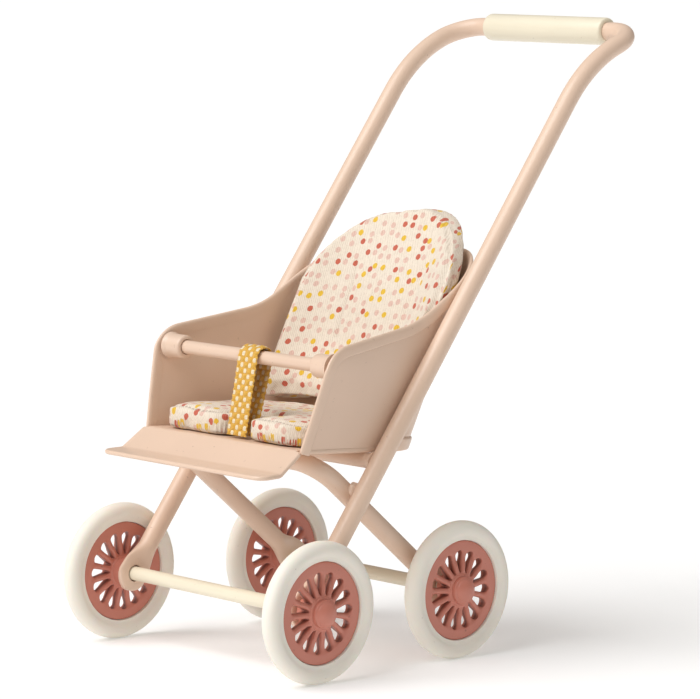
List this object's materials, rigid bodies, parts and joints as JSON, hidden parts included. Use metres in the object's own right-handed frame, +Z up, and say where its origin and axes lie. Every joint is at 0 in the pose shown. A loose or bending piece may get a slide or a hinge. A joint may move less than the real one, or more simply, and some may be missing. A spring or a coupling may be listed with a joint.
{
  "type": "doll stroller",
  "caption": "Doll's stroller with a bent tube frame, a sheet metal seat with footrest and bumper bar, slotted wheels, spotted cushions and a woven strap.",
  "frame": {"origin": "on the floor under the middle of the outer box", "axes": "+Z up, -Y towards the front (footrest), +X across, along the axles"},
  "size_m": [0.0728, 0.1171, 0.1401],
  "materials": {
    "blush_paint": "satin",
    "cream_enamel": "satin",
    "rose_enamel": "satin",
    "ivory_rubber": "matt",
    "spotted_cotton": "woven",
    "woven_webbing": "basket weave"
  },
  "bodies": {
    "frame": {"handle_frame": "blush_paint", "handle_grip": "cream_enamel", "rear_leg_frame": "blush_paint", "seat_cross_bar": "blush_paint", "crossing_weld_right": "blush_paint", "crossing_weld_left": "blush_paint", "seat_shell": "blush_paint", "seat_pan": "blush_paint", "pan_rivet_front_right": "blush_paint", "pan_rivet_front_left": "blush_paint", "pan_rivet_rear_right": "blush_paint", "pan_rivet_rear_left": "blush_paint", "bumper_bar": "blush_paint", "bumper_socket_right": "blush_paint", "bumper_socket_left": "blush_paint", "seat_cushion": "spotted_cotton", "back_cushion": "spotted_cotton", "strap": "woven_webbing"},
    "front_axle_set": {"front_axle": "cream_enamel", "hub_cap_front_right": "rose_enamel", "hub_cap_front_left": "rose_enamel"},
    "rear_axle_set": {"rear_axle": "cream_enamel", "hub_cap_rear_right": "rose_enamel", "hub_cap_rear_left": "rose_enamel"},
    "wheel_front_right": {"disc_front_right": "rose_enamel", "tyre_front_right": "ivory_rubber"},
    "wheel_front_left": {"disc_front_left": "rose_enamel", "tyre_front_left": "ivory_rubber"},
    "wheel_rear_right": {"disc_rear_right": "rose_enamel", "tyre_rear_right": "ivory_rubber"},
    "wheel_rear_left": {"disc_rear_left": "rose_enamel", "tyre_rear_left": "ivory_rubber"}
  },
  "joints": [
    {"name": "front_axle_turn", "type": "hinge", "parent": "frame", "child": "front_axle_set", "pos_m": [0, -0.04332, 0.01525], "axis": [1, 0, 0], "continuous": true},
    {"name": "rear_axle_turn", "type": "hinge", "parent": "frame", "child": "rear_axle_set", "pos_m": [0, 0.00108, 0.01525], "axis": [1, 0, 0], "continuous": true},
    {"name": "wheel_front_right_roll", "type": "hinge", "parent": "front_axle_set", "child": "wheel_front_right", "pos_m": [-0.0326, -0.04332, 0.01525], "axis": [1, 0, 0], "continuous": true},
    {"name": "wheel_front_left_roll", "type": "hinge", "parent": "front_axle_set", "child": "wheel_front_left", "pos_m": [0.0326, -0.04332, 0.01525], "axis": [1, 0, 0], "continuous": true},
    {"name": "wheel_rear_right_roll", "type": "hinge", "parent": "rear_axle_set", "child": "wheel_rear_right", "pos_m": [-0.02925, 0.00108, 0.01525], "axis": [1, 0, 0], "continuous": true},
    {"name": "wheel_rear_left_roll", "type": "hinge", "parent": "rear_axle_set", "child": "wheel_rear_left", "pos_m": [0.02925, 0.00108, 0.01525], "axis": [1, 0, 0], "continuous": true}
  ]
}
